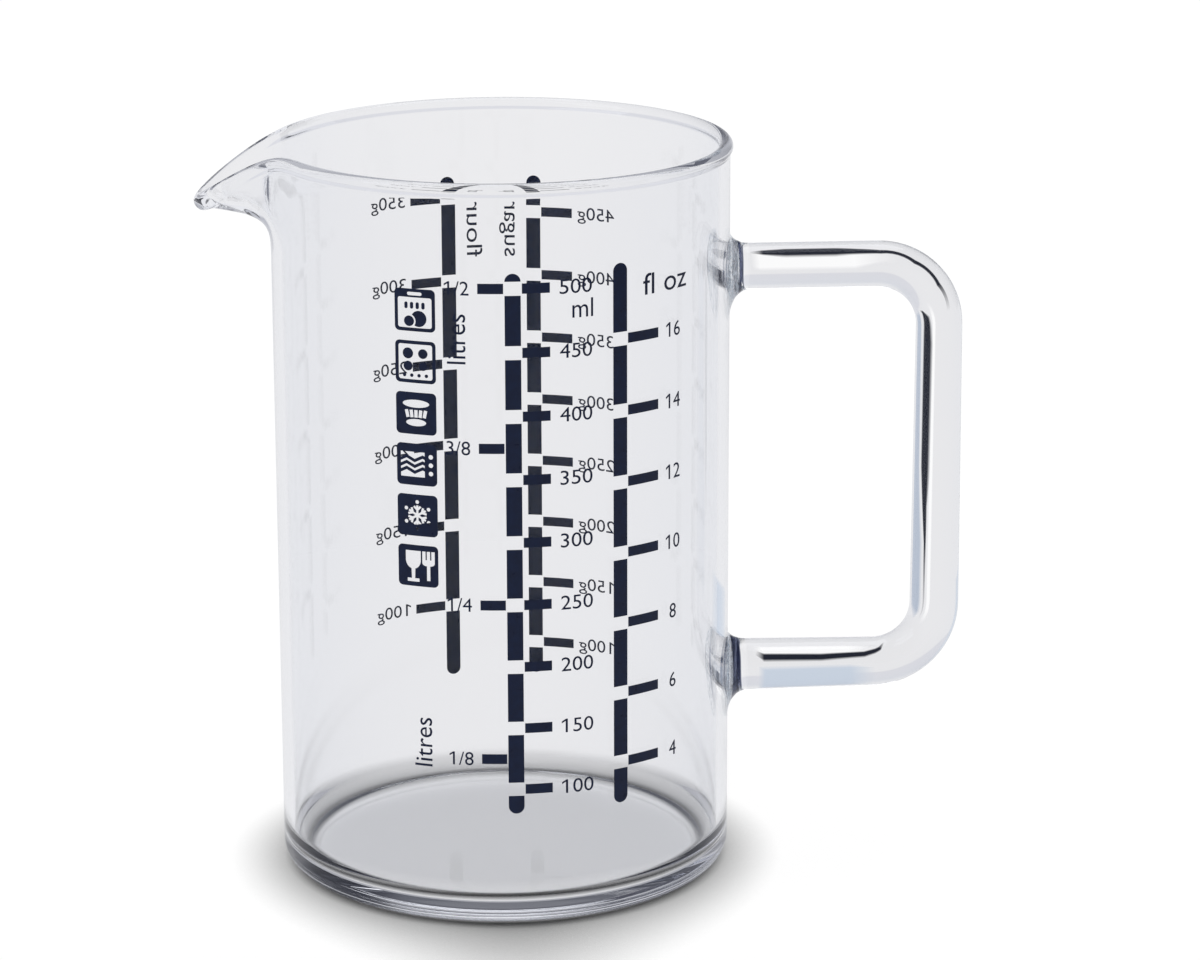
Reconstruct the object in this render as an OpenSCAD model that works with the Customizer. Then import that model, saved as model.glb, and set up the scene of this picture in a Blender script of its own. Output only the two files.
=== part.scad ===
// Glass measuring jug with a drawn spout, a fused rod handle and fired enamel scales.
// The origin is the middle of the base, +Z is up, the handle is on +X and the spout on -X.

/* [Vessel] */
// Outside diameter of the straight wall
vessel_d = 80; // [72:1:100]
// Height of the rim above the table
vessel_h = 130.5; // [122:0.5:160]
// Thickness of the blown wall
wall = 1.9; // [1.4:0.1:2.6]
// Thickness of the floor
floor_t = 3; // [2:0.1:5]
// Radius of the heel outside
heel_r = 3.5; // [2:0.1:6]
// Radius of the heel inside
inner_heel_r = 5; // [3:0.1:8]

/* [Rim and spout] */
// How far the rim flares out beyond the wall
rim_flare = 0.5; // [0.3:0.1:2]
// Height of the flared band
rim_flare_h = 3.5; // [2:0.1:6]
// How far the lip of the spout reaches beyond the wall
spout_reach = 12.7; // [8:0.1:17]
// How far the lip dips below the rim
spout_dip = 10.2; // [6:0.1:12]
// Height of the band that the spout is drawn from
spout_h = 20; // [17:0.5:26]
// Angle from the middle of the spout at which its pull has fallen to three fifths
spout_spread = 8; // [6:0.5:11]

/* [Handle] */
// Depth of the upper arm's centre line below the rim
upper_arm_drop = 23.5; // [20:0.1:35]
// Height of the lower arm's centre line above the table
lower_arm_z = 33.7; // [22:0.1:45]
// Distance from the wall to the centre line of the grip
grip_reach = 37.4; // [30:0.1:50]
// Diameter of the rod at its upper end
rod_d = 8.2; // [6:0.1:10]
// Diameter of the rod at its lower end
rod_low_d = 9.3; // [6:0.1:11]
// Centre line radius of the two bends
bend_r = 11; // [8:0.5:15]

/* [Welds] */
// Length of a weld along the rod
weld_l = 3.4; // [2:0.1:6]
// How far a weld spreads round the rod where it meets the wall
weld_spread = 3.7; // [2:0.1:6]

/* [Scales] */
// Thickness of the fired enamel
enamel_t = 0.1; // [0.05:0.01:0.3]
// Width of the long bars
bar_w = 2.7; // [1.5:0.1:4]
// Thickness of a tick
tick_t = 1.75; // [1:0.05:3]
// Length of bar left out at each mark
mark_gap = 2.4; // [2:0.1:4]
// Space between a bar and the ticks beside it
tick_space = 0.2; // [0.1:0.05:0.5]
// Length of bar below the first millilitre mark
bar_tail = 4.4; // [3:0.1:8]
// Length of a millilitre tick
ml_tick_l = 4.7; // [3:0.1:8]
// Length of a litre tick
litre_tick_l = 4.3; // [3:0.1:8]
// Length of a fluid ounce tick
oz_tick_l = 6.5; // [3:0.1:8]
// Length of a gram tick
gram_tick_l = 6; // [3:0.1:8]
// Distance round the wall from the millilitre bar to the fluid ounce bar
oz_bar_arc = 18.9; // [15:0.1:24]
// Distance round the wall from the middle of the back to each gram bar
gram_bar_arc = 8.1; // [6:0.1:12]
// Height of the tallest bars above the table
bar_top_z = 116; // [112:0.1:117]

/* [Care symbols] */
// Width of a symbol
symbol_w = 7.25; // [5:0.05:8]
// Distance from one symbol to the next
symbol_pitch = 8.87; // [8.4:0.01:10]
// Distance round the wall from the millilitre bar to the symbols
symbol_arc = 16.65; // [14:0.05:20]
// Depth of the highest symbol's middle below the rim
symbol_drop = 21.7; // [18:0.1:26]
// Corner radius of a symbol
symbol_r = 0.8; // [0.4:0.1:1.5]
// Thickness of a symbol's lines
symbol_line = 0.6; // [0.4:0.05:0.9]

/* [Hidden] */
$fn = 96;

// Edge of a cube that holds one litre
litre_edge = 100;
// Marked volumes, as shares of a litre
ml_shares = [for (v = [0.1 : 0.05 : 0.501]) v];
litre_shares = [0.125, 0.25, 0.375, 0.5];
oz_shares = [for (n = [4 : 2 : 16]) n * 0.0284131];
// Marked masses, as shares of a litre at 0.705 and 0.93 kilograms a litre
flour_shares = [for (g = [0.1 : 0.05 : 0.351]) g / 0.705];
sugar_shares = [for (g = [0.1 : 0.05 : 0.451]) g / 0.93];

// Derived sizes of the vessel
vessel_r = vessel_d / 2;
bore_r = vessel_r - wall;
lip_r = wall / 2;
rim_tilt = atan(2 * rim_flare / rim_flare_h);
upper_arm_z = vessel_h - upper_arm_drop;
grip_x = vessel_r + grip_reach;
weld_x = vessel_r + weld_l;
overrun = 1;

// Bearings of the spout and the two printed sides
back_a = 90;
spout_a = 180;
front_a = 270;

// The pull of the spout fades to nothing at this angle from its middle
spout_span = 3.5 * spout_spread;
spout_column_count = 28;
spout_row_count = 18;
arc_step_count = 8;
lip_step_count = 8;

// How far the spout's skin runs into the plain wall, and how far it lies inside the wall's faces
spout_root = 1;
seam_step = 0.03;

// Control points of the drawn wall, as shares of the band's height and of the reach
throat_share = 0.625;
crook_share = 0.65;
crook_reach_share = 0.1;

glass_colour = [0.80, 0.87, 0.90, 0.45];
enamel_colour = [0.09, 0.11, 0.22];

// Geometry helpers

function mix(a, b, t) = a + (b - a) * t;

function unit(v) = v / norm(v);

// Angle that a distance round the wall turns through
function turn(d) = d / vessel_r * 180 / PI;

// Points on an arc in the r, z plane
function arc(centre, r, from, to) =
    [for (i = [0 : arc_step_count])
        let (a = mix(from, to, i / arc_step_count))
        centre + r * [cos(a), sin(a)]];

// Corner points of a rounded rectangle round the origin
function rounded(w, h, r) = concat(
    arc([w / 2 - r, h / 2 - r], r, 0, 90),
    arc([r - w / 2, h / 2 - r], r, 90, 180),
    arc([r - w / 2, r - h / 2], r, 180, 270),
    arc([w / 2 - r, r - h / 2], r, 270, 360));

// Vessel

// Strength of the spout's pull at an angle from its middle, 1 at the middle and 0 at the end of the span
function bell(a) = exp(-pow(a / spout_spread, 2) / 2);
function pull(a) = max(0, (bell(a) - bell(spout_span)) / (1 - bell(spout_span)));

// A point of the outer skin in the top band, v from 0 at the band's foot to 1 at the lip
function outer_skin(v, s) =
    let (foot_z = vessel_h - spout_h)
    let (lip_z = vessel_h - lip_r * (1 + (1 - s) * sin(rim_tilt)) - spout_dip * pow(s, 1.2))
    let (draw = (spout_reach - lip_r) * s)
    let (p0 = [vessel_r, foot_z])
    let (p1 = [vessel_r, mix(mix(foot_z, lip_z, 1 / 3), vessel_h - throat_share * spout_h, s)])
    let (p2 = [vessel_r + crook_reach_share * draw,
               mix(mix(foot_z, lip_z, 2 / 3), vessel_h - crook_share * spout_h, s)])
    let (p3 = [vessel_r + draw, lip_z])
    let (u = 1 - v)
    let (below = u * (spout_h - lip_r) / rim_flare_h)
    let (flare = rim_flare * (1 - s) * pow(max(0, 1 - below), 2))
    u * u * u * p0 + 3 * u * u * v * p1 + 3 * u * v * v * p2 + v * v * v * p3 + [flare, 0];

// Direction of the skin towards the lip, and its outward normal
function skin_along(v, s) =
    let (dv = 0.25 / spout_row_count)
    unit(outer_skin(min(1, v + dv), s) - outer_skin(max(0, v - dv), s));
function skin_normal(v, s) = let (t = skin_along(v, s)) [t[1], -t[0]];

// Section of the top band: up the outer skin, over the round lip and down the inner skin.
// Every face lies inside the wall's by inset.
function band_section(s, inset) =
    let (rows = [for (i = [0 : spout_row_count]) i / spout_row_count])
    let (lip_n = skin_normal(1, s))
    let (lip_t = skin_along(1, s))
    let (lip_c = outer_skin(1, s) - lip_r * lip_n)
    concat(
        [for (v = rows) outer_skin(v, s) - inset * skin_normal(v, s)],
        [for (i = [1 : lip_step_count - 1])
            let (a = 180 * i / lip_step_count)
            lip_c + (lip_r - inset) * (cos(a) * lip_n + sin(a) * lip_t)],
        [for (i = [spout_row_count : -1 : 0])
            let (v = rows[i])
            outer_skin(v, s) - (wall - inset) * skin_normal(v, s)]);

// Half section of the vessel away from the spout
vessel_profile = concat(
    [[0, 0]],
    arc([vessel_r - heel_r, heel_r], heel_r, -90, 0),
    band_section(0, 0),
    arc([bore_r - inner_heel_r, floor_t + inner_heel_r], inner_heel_r, 0, -90),
    [[0, floor_t]]);

// The drawn part of the rim, a closed skin that is rooted in the plain wall on three sides
module spout() {
    root_z = vessel_h - spout_h - spout_root;
    root_a = spout_span + turn(spout_root);
    bearings = concat(
        [-root_a],
        [for (j = [0 : spout_column_count]) mix(-spout_span, spout_span, j / spout_column_count)],
        [root_a]);
    sections = [for (a = bearings)
        [for (p = concat(
                [[vessel_r - seam_step, root_z]],
                band_section(pull(a), seam_step),
                [[bore_r + seam_step, root_z]]))
            [p[0] * cos(spout_a + a), p[0] * sin(spout_a + a), p[1]]]];
    n = len(sections[0]);
    skin = [for (j = [0 : len(sections) - 2], i = [0 : n - 1])
        let (a = j * n + i)
        let (b = j * n + (i + 1) % n)
        each [[a, b, b + n], [a, b + n, a + n]]];
    lip = spout_row_count + 1;
    cap = concat(
        [for (i = [0 : lip - 1])
            each [[i, n - 1 - i, n - 2 - i], [i, n - 2 - i, i + 1]]],
        [for (i = [1 : lip_step_count - 1]) [lip, lip + i + 1, lip + i]]);
    last = n * (len(sections) - 1);
    end_cap = [for (f = cap) [f[0] + last, f[2] + last, f[1] + last]];
    polyhedron([for (s = sections) each s], concat(skin, cap, end_cap));
}

// The sector of the plain rim that the spout takes the place of
module spout_notch() {
    rotate([0, 0, spout_a - spout_span])
        rotate_extrude(angle = 2 * spout_span)
            translate([bore_r - wall, vessel_h - spout_h])
                square([3 * wall + rim_flare, spout_h + overrun]);
}

module vessel() {
    color(glass_colour)
        union() {
            difference() {
                rotate_extrude() polygon(vessel_profile);
                spout_notch();
            }
            spout();
        }
}

// Handle

// Diameter of the rod half way along, at the lower bend
rod_mid_d = mix(rod_d, rod_low_d, 0.5);

// A quarter turn of rod between an arm and the grip
module bend(d) {
    rotate([90, 0, 0])
        rotate_extrude(angle = 90)
            translate([bend_r, 0])
                circle(d = d);
}

// A straight length of rod along +X
module arm(d1, d2) {
    rotate([0, 90, 0])
        cylinder(d1 = d1, d2 = d2, h = grip_x - bend_r - weld_x);
}

module handle() {
    color(glass_colour)
        union() {
            translate([weld_x, 0, upper_arm_z]) arm(rod_d, rod_d);
            translate([grip_x - bend_r, 0, upper_arm_z - bend_r]) bend(rod_d);
            translate([grip_x, 0, lower_arm_z + bend_r])
                cylinder(d1 = rod_mid_d, d2 = rod_d, h = upper_arm_z - lower_arm_z - 2 * bend_r);
            translate([grip_x - bend_r, 0, lower_arm_z + bend_r])
                mirror([0, 0, 1]) bend(rod_mid_d);
            translate([weld_x, 0, lower_arm_z]) arm(rod_low_d, rod_mid_d);
        }
}

// Welds

// Trumpet of glass round the rod's end, seated on the wall
module weld(z, d) {
    flare = [for (i = [0 : arc_step_count])
        let (a = 90 * i / arc_step_count)
        [d / 2 + weld_spread * (1 - cos(a)), weld_x - weld_l * sin(a)]];
    color(glass_colour)
        difference() {
            translate([0, 0, z])
                rotate([0, 90, 0])
                    rotate_extrude()
                        polygon(concat(
                            [[0, bore_r], [0, weld_x]],
                            flare,
                            [[d / 2 + weld_spread, bore_r]]));
            cylinder(r = vessel_r, h = vessel_h);
        }
}

module upper_weld() {
    weld(upper_arm_z, rod_d);
}

module lower_weld() {
    weld(lower_arm_z, rod_low_d);
}

// Enamel

// Height at which the vessel holds a share of a litre, with the round heel taken off
heel_loss = 2 * PI * (1 - PI / 4) * pow(inner_heel_r, 2) * (bore_r - 0.2234 * inner_heel_r);
function mark_z(share) = floor_t + (share * pow(litre_edge, 3) + heel_loss) / (PI * pow(bore_r, 2));

// Marks that lie on the plain wall
highest_z = min(bar_top_z, vessel_h - lip_r - rim_flare_h);
function marks(shares) = [for (s = shares) if (mark_z(s) + mark_gap / 2 < highest_z) mark_z(s)];

// Foot of every bar
bar_foot_z = mark_z(ml_shares[0]) - bar_tail;

// A curved rectangle of enamel from one distance round the wall to another
module patch(side_a, from, to, low, high) {
    rotate([0, 0, side_a + turn(from)])
        rotate_extrude(angle = turn(to - from))
            translate([vessel_r, low])
                square([enamel_t, high - low]);
}

// A flat shape pressed on to the wall, where size is its height
module stamp(side_a, at, z, size) {
    intersection() {
        rotate_extrude()
            translate([vessel_r, z - size / 2])
                square([enamel_t, size]);
        rotate([0, 0, side_a + turn(at)])
            translate([0, 0, z])
                rotate([90, 0, 90])
                    linear_extrude(vessel_r + overrun)
                        children();
    }
}

// A length of bar round the origin, with a round end where a radius is given
function bar_outline(h, low_r, high_r) = concat(
    high_r > 0 ? arc([0, h / 2 - high_r], high_r, 0, 180) : [[bar_w, h] / 2, [-bar_w, h] / 2],
    low_r > 0 ? arc([0, low_r - h / 2], low_r, 180, 360) : [[-bar_w, -h] / 2, [bar_w, -h] / 2]);

// A bar with round ends that is broken at each of its marks
module bar(side_a, at, low, high, levels) {
    cuts = concat([low], [for (z = levels) each [z - mark_gap / 2, z + mark_gap / 2]], [high]);
    last = len(cuts) - 2;
    for (i = [0 : 2 : last]) {
        h = cuts[i + 1] - cuts[i];
        if (h > 0)
            stamp(side_a, at, cuts[i] + h / 2, h)
                polygon(bar_outline(h, i == 0 ? bar_w / 2 : 0, i == last ? bar_w / 2 : 0));
    }
}

// Ticks beside a bar, on the side given by hand
module ticks(side_a, at, hand, length, levels) {
    inner = at + hand * (bar_w / 2 + tick_space);
    outer = inner + hand * length;
    for (z = levels)
        patch(side_a, min(inner, outer), max(inner, outer), z - tick_t / 2, z + tick_t / 2);
}

module millilitre_scale() {
    levels = marks(ml_shares);
    color(enamel_colour) {
        bar(front_a, 0, bar_foot_z, levels[len(levels) - 1] + mark_gap / 2 + bar_w / 2, levels);
        ticks(front_a, 0, 1, ml_tick_l, levels);
    }
}

module litre_ticks() {
    color(enamel_colour)
        ticks(front_a, 0, -1, litre_tick_l, marks(litre_shares));
}

module fluid_ounce_scale() {
    levels = marks(oz_shares);
    color(enamel_colour) {
        bar(front_a, oz_bar_arc, bar_foot_z, highest_z, levels);
        ticks(front_a, oz_bar_arc, 1, oz_tick_l, levels);
    }
}

// A gram scale on the back, with its ticks on the side away from the other one
module gram_scale(hand, shares) {
    levels = marks(shares);
    color(enamel_colour) {
        bar(back_a, hand * gram_bar_arc, bar_foot_z, highest_z, levels);
        ticks(back_a, hand * gram_bar_arc, hand, gram_tick_l, levels);
    }
}

module flour_scale() {
    gram_scale(1, flour_shares);
}

module sugar_scale() {
    gram_scale(-1, sugar_shares);
}

// Care symbols

// Places in a symbol, as shares of its width: discs are [x, y, diameter], bars are [x, y, width, height]
rinse_band_share = 0.2;
rinse_slot = [0, 0.385, 0.36, 0.08];
rinse_drops = [for (x = [-0.21, -0.07, 0.07, 0.21]) [x, 0.11, 0.08, 0.16]];
rinse_back_plate = [0.1, -0.2, 0.38];
rinse_front_plate = [-0.14, -0.26, 0.25];
rinse_gap_share = 0.08;
hob_rings = [[-0.18, 0.2, 0.26], [0.19, 0.2, 0.23], [-0.18, -0.1, 0.23], [0.19, -0.1, 0.2]];
hob_knobs = [for (x = [-0.27, -0.09, 0.09, 0.27]) [x, -0.32, 0.085]];
heat_dish = [0, 0.23, 0.66, 0.19];
heat_base = [0, -0.22, 0.5, 0.17];
heat_rays = [for (x = [-0.2, -0.1, 0, 0.1, 0.2]) [[x, -0.1], [1.2 * x, 0.08]]];
wave_window = [-0.1, 0, 0.6, 0.6];
wave_heights = [-0.14, 0, 0.14];
wave_swing_share = 0.05;
wave_turn_shares = [-0.45, -0.25, -0.05, 0.15, 0.35];
wave_knobs = [for (y = [-0.2, 0, 0.2]) [0.35, y, 0.11]];
flake_arm_share = 0.24;
flake_fork_share = 0.13;
flake_branch_share = 0.12;
flake_line_share = 0.055;
flake_dot = [0, 0.32, 0.09];
cup_x_share = -0.12;
cup_w_share = 0.38;
cup_top_share = 0.36;
cup_side_share = 0.14;
cup_bowl_share = 0.22;
foot_w_share = 0.3;
foot_y_share = -0.35;
fork_x_share = 0.26;
fork_pitch_share = 0.075;
fork_neck_share = 0.08;

// Points of an ellipse round the origin
function oval(w, h) =
    [for (i = [0 : 4 * arc_step_count - 1])
        let (a = 90 * i / arc_step_count)
        [w * cos(a), h * sin(a)] / 2];

// A straight line between two points, with square ends
module line(from, to, w = symbol_line) {
    along = unit(to - from) * w / 2;
    aside = [-along[1], along[0]];
    polygon([from + aside, from - aside, to - aside, to + aside]);
}

// A disc, an ellipse and a bar with round ends, each from its shares of a symbol's width
module symbol_disc(d) {
    translate([d[0], d[1]] * symbol_w) circle(d = d[2] * symbol_w);
}

module symbol_oval(d) {
    translate([d[0], d[1]] * symbol_w) polygon(oval(d[2] * symbol_w, d[3] * symbol_w));
}

module symbol_bar(d) {
    translate([d[0], d[1]] * symbol_w)
        polygon(rounded(d[2] * symbol_w, d[3] * symbol_w, 0.49 * min(d[2], d[3]) * symbol_w));
}

module symbol_plate() {
    polygon(rounded(symbol_w, symbol_w, symbol_r));
}

// A frame whose top is a band of the given height
module symbol_frame(band_h) {
    inside_w = symbol_w - 2 * symbol_line;
    inside_h = symbol_w - symbol_line - band_h;
    difference() {
        symbol_plate();
        translate([0, (symbol_line - band_h) / 2])
            polygon(rounded(inside_w, inside_h, symbol_r / 2));
        children();
    }
}

// Plates under falling drops
module rinse_symbol() {
    symbol_frame(rinse_band_share * symbol_w) symbol_bar(rinse_slot);
    for (d = rinse_drops) symbol_bar(d);
    symbol_disc(rinse_front_plate);
    difference() {
        symbol_disc(rinse_back_plate);
        symbol_disc(rinse_front_plate + [0, 0, rinse_gap_share]);
    }
}

// Four cooking rings and their knobs
module hob_symbol() {
    symbol_frame(symbol_line);
    for (d = concat(hob_rings, hob_knobs)) symbol_disc(d);
}

// A dish over heat
module heat_symbol() {
    difference() {
        symbol_plate();
        symbol_oval(heat_dish);
        symbol_oval(heat_base);
        for (p = heat_rays) line(p[0] * symbol_w, p[1] * symbol_w);
    }
}

// Three waves across a window
module wave_symbol() {
    path = [for (i = [0 : len(wave_turn_shares) - 1])
        [wave_turn_shares[i], wave_swing_share * (i % 2 == 0 ? -1 : 1)] * symbol_w];
    band = concat(
        [for (p = path) p + [0, symbol_line / 2]],
        [for (i = [len(path) - 1 : -1 : 0]) path[i] - [0, symbol_line / 2]]);
    difference() {
        symbol_plate();
        difference() {
            translate([wave_window[0], wave_window[1]] * symbol_w)
                square([wave_window[2], wave_window[3]] * symbol_w, center = true);
            for (y = wave_heights)
                translate([0, y * symbol_w]) polygon(band);
        }
        for (d = wave_knobs) symbol_disc(d);
    }
}

// A six armed flake
module frost_symbol() {
    flake_line = flake_line_share * symbol_w;
    difference() {
        symbol_plate();
        for (a = [0 : 60 : 359])
            rotate(a) {
                line([0, 0], [0, flake_arm_share * symbol_w], flake_line);
                for (side = [-45, 45])
                    translate([0, flake_fork_share * symbol_w])
                        rotate(side) line([0, 0], [0, flake_branch_share * symbol_w], flake_line);
                symbol_disc(flake_dot);
            }
    }
}

// A glass beside a fork
module table_symbol() {
    cup_x = cup_x_share * symbol_w;
    cup_r = cup_w_share * symbol_w / 2;
    side_y = cup_side_share * symbol_w;
    foot_y = foot_y_share * symbol_w;
    foot_r = foot_w_share * symbol_w / 2;
    fork_x = fork_x_share * symbol_w;
    neck_y = fork_neck_share * symbol_w;
    top_y = cup_top_share * symbol_w;
    bowl = [for (i = [0 : 2 * arc_step_count])
        let (a = 180 + 90 * i / arc_step_count)
        [cup_x + cup_r * cos(a), side_y + cup_bowl_share * symbol_w * sin(a)]];
    difference() {
        symbol_plate();
        polygon(concat([[cup_x + cup_r, top_y], [cup_x - cup_r, top_y]], bowl));
        line([cup_x, foot_y], [cup_x, side_y]);
        line([cup_x - foot_r, foot_y], [cup_x + foot_r, foot_y]);
        line([fork_x, foot_y], [fork_x, neck_y]);
        symbol_bar([fork_x_share, fork_neck_share, 4 * fork_pitch_share, 2 * fork_pitch_share]);
        for (x = [-1, 0, 1])
            let (tine_x = fork_x + 1.5 * x * fork_pitch_share * symbol_w)
                line([tine_x, neck_y], [tine_x, top_y]);
    }
}

module symbol(i) {
    stamp(front_a, -symbol_arc, vessel_h - symbol_drop - i * symbol_pitch, symbol_w)
        children();
}

module care_symbols() {
    color(enamel_colour) {
        symbol(0) rinse_symbol();
        symbol(1) hob_symbol();
        symbol(2) heat_symbol();
        symbol(3) wave_symbol();
        symbol(4) frost_symbol();
        symbol(5) table_symbol();
    }
}

vessel();
handle();
upper_weld();
lower_weld();
millilitre_scale();
litre_ticks();
fluid_ounce_scale();
flour_scale();
sugar_scale();
care_symbols();
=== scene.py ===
import math

import bmesh
import bpy
from mathutils import noise, Matrix, Vector


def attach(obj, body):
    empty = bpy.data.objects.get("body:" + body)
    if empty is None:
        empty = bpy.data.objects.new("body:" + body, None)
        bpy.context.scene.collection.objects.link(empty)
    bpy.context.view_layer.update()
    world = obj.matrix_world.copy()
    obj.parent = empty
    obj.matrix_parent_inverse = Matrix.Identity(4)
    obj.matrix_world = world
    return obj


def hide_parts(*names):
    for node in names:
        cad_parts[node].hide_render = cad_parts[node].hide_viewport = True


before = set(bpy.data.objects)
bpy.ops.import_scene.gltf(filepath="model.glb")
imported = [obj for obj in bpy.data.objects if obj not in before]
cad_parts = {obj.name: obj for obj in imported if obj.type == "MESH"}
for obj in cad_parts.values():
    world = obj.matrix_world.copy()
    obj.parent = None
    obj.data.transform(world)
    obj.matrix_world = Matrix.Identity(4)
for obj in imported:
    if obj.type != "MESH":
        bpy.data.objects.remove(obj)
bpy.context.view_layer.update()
scene = bpy.context.scene
mm = 0.001  # every piece is modelled in millimetres and scaled once at the end
print("frame loaded with", len(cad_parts), "CAD nodes")


# small helpers

sharpAngle = math.radians(35)
mergeGap, cutGap = 1e-4, 1e-5  # millimetres


def mix(a, b, share):
    return a + (b - a) * share


def addNode(tree, kind, inputs=None, **settings):
    node = tree.nodes.new(kind)
    for key, value in settings.items():
        setattr(node, key, value)
    for key, value in (inputs or {}).items():
        if isinstance(value, bpy.types.NodeSocket):
            tree.links.new(value, node.inputs[key])
        else:
            node.inputs[key].default_value = value
    return node


def addMath(tree, operation, *values):
    return addNode(tree, "ShaderNodeMath", dict(enumerate(values)), operation=operation).outputs[0]


def addRange(tree, value, start, end=(0.0, 1.0), **settings):
    ends = {"From Min": start[0], "From Max": start[1], "To Min": end[0], "To Max": end[1]}
    return addNode(tree, "ShaderNodeMapRange", {"Value": value, **ends}, **settings).outputs["Result"]


def addMix(tree, share, first, second, **settings):
    colours = {0: share, 6: first, 7: second}
    return addNode(tree, "ShaderNodeMix", colours, data_type="RGBA", **settings).outputs[2]


def addBlend(tree, share, first, second):
    return addNode(tree, "ShaderNodeMixShader", {0: share, 1: first, 2: second}).outputs[0]


def addNoise(tree, place, scale, detail, twist=0.0):
    return addNode(tree, "ShaderNodeTexNoise", {
        "Vector": place, "Scale": scale, "Detail": detail, "Distortion": twist}).outputs["Fac"]


def addBump(tree, height, strength, depth):
    return addNode(tree, "ShaderNodeBump", {
        "Height": height, "Strength": strength, "Distance": depth}).outputs["Normal"]


def addRamp(tree, value, stops):
    node = addNode(tree, "ShaderNodeValToRGB", {"Fac": value})
    while len(node.color_ramp.elements) < len(stops):
        node.color_ramp.elements.new(0.5)
    for element, (place, colour) in zip(node.color_ramp.elements, stops):
        element.position, element.color = place, colour
    return node.outputs["Color"]


def addPlace(tree):
    return addNode(tree, "ShaderNodeTexCoord").outputs["Object"]


def addParts(tree, vector):
    return addNode(tree, "ShaderNodeSeparateXYZ", {0: vector}).outputs


def newMaterial(name):
    material = bpy.data.materials.new(name)
    material.use_nodes = True
    material.node_tree.nodes.clear()
    return material, material.node_tree


def newObject(name, bm, materials):
    mesh = bpy.data.meshes.new(name)
    bm.to_mesh(mesh)
    bm.free()
    for material in materials:
        mesh.materials.append(material)
    made = bpy.data.objects.new(name, mesh)
    scene.collection.objects.link(made)
    return made


def newPiece(name, bm, materials, nodes=()):
    bmesh.ops.scale(bm, vec=(mm, mm, mm), verts=bm.verts)
    piece = newObject(name, bm, materials)
    piece.data.shade_smooth()
    piece.data.set_sharp_from_angle(angle=sharpAngle)
    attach(piece, "root")
    if nodes:
        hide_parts(*nodes)


def newStage(name, bm, material, unseenBy=()):
    made = newObject(name, bm, [material])
    for ray in unseenBy:
        setattr(made, "visible_" + ray, False)


# clear glass, with the slow waves that blowing and drawing leave in it

glassGrain = {
    "waveDetail": 1.5, "hazeScale": 90.0, "hazeDetail": 4.0, "hazeSpan": (0.45, 0.8), "edgeBlend": 0.35,
}
vesselGlassLook = {
    "colour": (0.975, 0.976, 0.980, 1), "edge": (0.88, 0.90, 0.94, 1), "glint": (0.22, 0.23, 0.25, 1),
    "ior": 1.47, "polish": (0.0, 0.012), "shadow": (0.86, 0.87, 0.89, 1),
    "waveScale": 26.0, "waveStretch": (1.0, 1.0, 0.35), "waveDepth": 0.00012, "waveStrength": 0.35,
}
rodGlassLook = {
    "colour": (0.935, 0.936, 0.942, 1), "edge": (0.84, 0.86, 0.90, 1), "glint": (0.4, 0.42, 0.46, 1),
    "ior": 1.47, "polish": (0.0, 0.01), "shadow": (0.80, 0.82, 0.85, 1),
    "waveScale": 60.0, "waveStretch": (0.6, 1.0, 0.4), "waveDepth": 0.00008, "waveStrength": 0.3,
}
leak = {"after": 6.5, "tint": (0.55, 0.56, 0.60, 1)}  # light mirrored more often passes straight out


def clearGlass(name, look):
    material, tree = newMaterial(name)
    place = addPlace(tree)
    stretch = addNode(tree, "ShaderNodeMapping", {"Vector": place, "Scale": look["waveStretch"]})
    waves = addNoise(tree, stretch.outputs["Vector"], look["waveScale"], glassGrain["waveDetail"])
    bump = addBump(tree, waves, look["waveStrength"], look["waveDepth"])
    haze = addNoise(tree, place, glassGrain["hazeScale"], glassGrain["hazeDetail"])
    polish = addRange(tree, haze, glassGrain["hazeSpan"], look["polish"])
    slant = addNode(tree, "ShaderNodeLayerWeight", {"Blend": glassGrain["edgeBlend"], "Normal": bump})
    depth = addMix(tree, slant.outputs["Facing"], look["colour"], look["edge"])
    # painted shade: a dark band across the weld's root, placed by distance along X, darkens the glass colour
    if "ring" in look:
        reach = addRange(tree, addParts(tree, place)["X"], look["ringReach"])
        depth = addMix(tree, 1.0, depth, addRamp(tree, reach, look["ring"]), blend_type="MULTIPLY")
    glass = addNode(tree, "ShaderNodeBsdfPrincipled", {
        "Base Color": depth, "Roughness": polish, "IOR": look["ior"], "Specular Tint": look["glint"],
        "Transmission Weight": 1.0, "Normal": bump})
    path = addNode(tree, "ShaderNodeLightPath").outputs
    trapped = addMath(tree, "GREATER_THAN", path["Glossy Depth"], leak["after"])
    tint = addMix(tree, trapped, look["shadow"], leak["tint"])
    clear = addNode(tree, "ShaderNodeBsdfTransparent", {"Color": tint})
    lost = addMath(tree, "MAXIMUM", path["Is Shadow Ray"], trapped)
    body = addBlend(tree, lost, glass.outputs[0], clear.outputs[0])
    addNode(tree, "ShaderNodeOutputMaterial", {"Surface": body})
    return material


gatherGlassLook = {
    **rodGlassLook, "colour": (0.98, 0.982, 0.986, 1), "edge": (0.96, 0.965, 0.975, 1),
    # the dark band round the root of each weld is painted shade, standing in for the dark line that
    # refraction gives there
    "ringReach": (0.040, 0.0434), "ringTone": (0.02, 0.025, 0.06, 1), "ringEdge": 0.06,
    "rings": {"upper": (0.44, 0.56), "lower": (0.20, 0.56)},
}
seamLook = {
    "tone": (0.62, 0.71, 0.80, 1), "ior": 1.47, "rough": 0.3, "veil": 0.6,
    "cloudScale": 1300.0, "cloudDetail": 4.0, "cloudTwist": 1.5, "cloudSpan": (0.42, 0.58),
}


# the ramp stops of the painted dark band round a weld
def ringStops(look, place):
    clear, dark, fade = (1, 1, 1, 1), look["ringTone"], look["ringEdge"]
    start, end = look["rings"][place]
    return (0.0, clear), (start - fade, clear), (start, dark), (end, dark), (end + fade, clear), (1.0, clear)


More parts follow.
